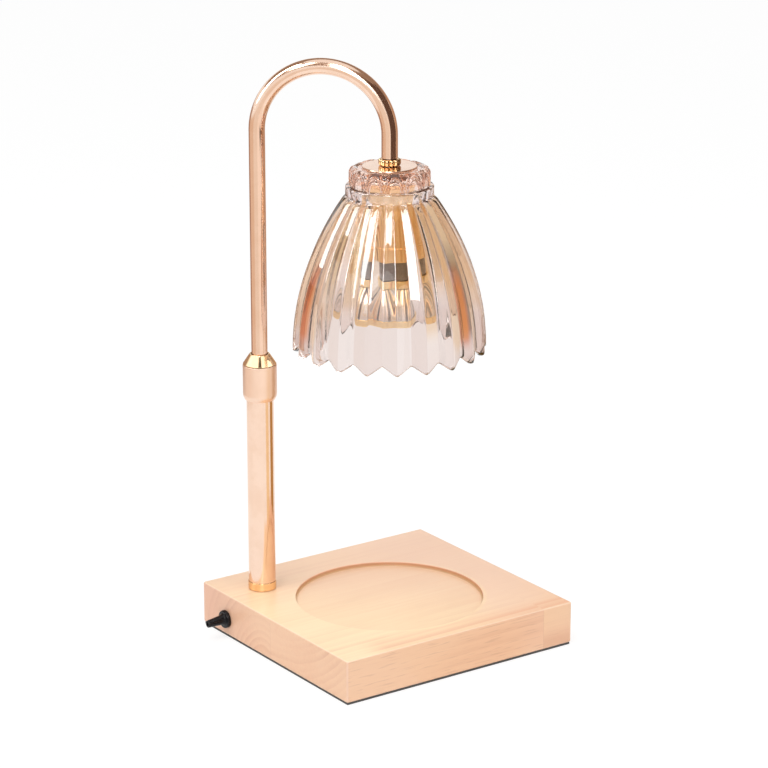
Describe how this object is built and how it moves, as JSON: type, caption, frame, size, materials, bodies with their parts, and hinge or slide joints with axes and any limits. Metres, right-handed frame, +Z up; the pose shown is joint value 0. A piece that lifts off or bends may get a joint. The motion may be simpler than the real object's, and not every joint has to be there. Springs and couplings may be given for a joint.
{
  "type": "candle warmer lamp",
  "caption": "Candle warmer lamp: wooden base with a seat for a jar, telescopic goose-neck arm with a twist lock, and a pleated glass shade over a spot bulb.",
  "frame": {"origin": "centre of the pad's underside, where the lamp rests on the table", "axes": "+Z up, +X to the right along the base's front edge, +Y to the back; the post stands near the back left corner"},
  "size_m": [0.1841, 0.162, 0.3694],
  "materials": {
    "beech": "clear satin lacquer",
    "black_foam": "matt",
    "black_plastic": "semi-gloss",
    "rose_gold": "polished, champagne to rose gold plating",
    "bright_gold": "mirror polished gold plating",
    "brass": "polished",
    "zinc": "zinc plated",
    "nylon": "natural, satin",
    "silicone": "satin",
    "lustre_glass": "clear with an amber to rose lustre that fades at the lower edge",
    "clear_glass": "clear",
    "steatite": "unglazed",
    "grey_ceramic": "satin",
    "silver_mirror": "facetted mirror",
    "copper_spring": "spring bronze",
    "lead_jacket": "satin"
  },
  "bodies": {
    "base": {"base_block": "beech", "base_pad": "black_foam", "cord_gland": "black_plastic", "gland_nut": "black_plastic", "connector_block": "nylon", "base_lead": "lead_jacket", "post_foot": "rose_gold", "post_stud": "zinc", "post_washer": "zinc", "post_nut": "zinc", "lower_post": "rose_gold", "lock_collet": "nylon"},
    "lock_collar": {"lock_sleeve": "rose_gold", "lock_cone": "bright_gold"},
    "arm_guide": {"guide_bush": "nylon", "post_lead": "lead_jacket"},
    "arm": {"arm_tube": "rose_gold", "tube_clip_lower": "zinc", "tube_clip_upper": "zinc", "arm_lead": "lead_jacket", "head_nipple": "zinc", "head_nut": "brass", "cover_disc": "rose_gold", "glass_shade": "lustre_glass", "shade_washer": "silicone", "cup_nut": "brass", "lampholder_cup": "bright_gold", "holder_bracket": "zinc", "lampholder": "steatite", "holder_screw_left": "zinc", "holder_screw_right": "zinc", "holder_contact_left": "copper_spring", "holder_contact_right": "copper_spring"},
    "bulb": {"bulb_body": "grey_ceramic", "bulb_pin_left": "zinc", "bulb_pin_right": "zinc", "bulb_collar": "bright_gold", "bulb_reflector": "silver_mirror", "bulb_rim": "bright_gold", "bulb_lens": "clear_glass", "bulb_capsule": "clear_glass"}
  },
  "joints": [
    {"name": "lock_turn", "type": "hinge", "parent": "base", "child": "lock_collar", "pos_m": [-0.0595, 0.051, 0.165], "axis": [0, 0, 1], "range_deg": [-180, 0]},
    {"name": "arm_height", "type": "slide", "parent": "base", "child": "arm_guide", "axis": [0, 0, 1], "range_m": [-0.06, 0.028], "deforming": ["post_lead"]},
    {"name": "arm_swing", "type": "hinge", "parent": "arm_guide", "child": "arm", "pos_m": [-0.0595, 0.051, 0.119], "axis": [0, 0, 1], "range_deg": [-170, 170]},
    {"name": "bulb_twist", "type": "hinge", "parent": "arm", "child": "bulb", "pos_m": [-0.0015, -0.006, 0.2622], "axis": [0, 0, -1], "range_deg": [0, 25]}
  ]
}
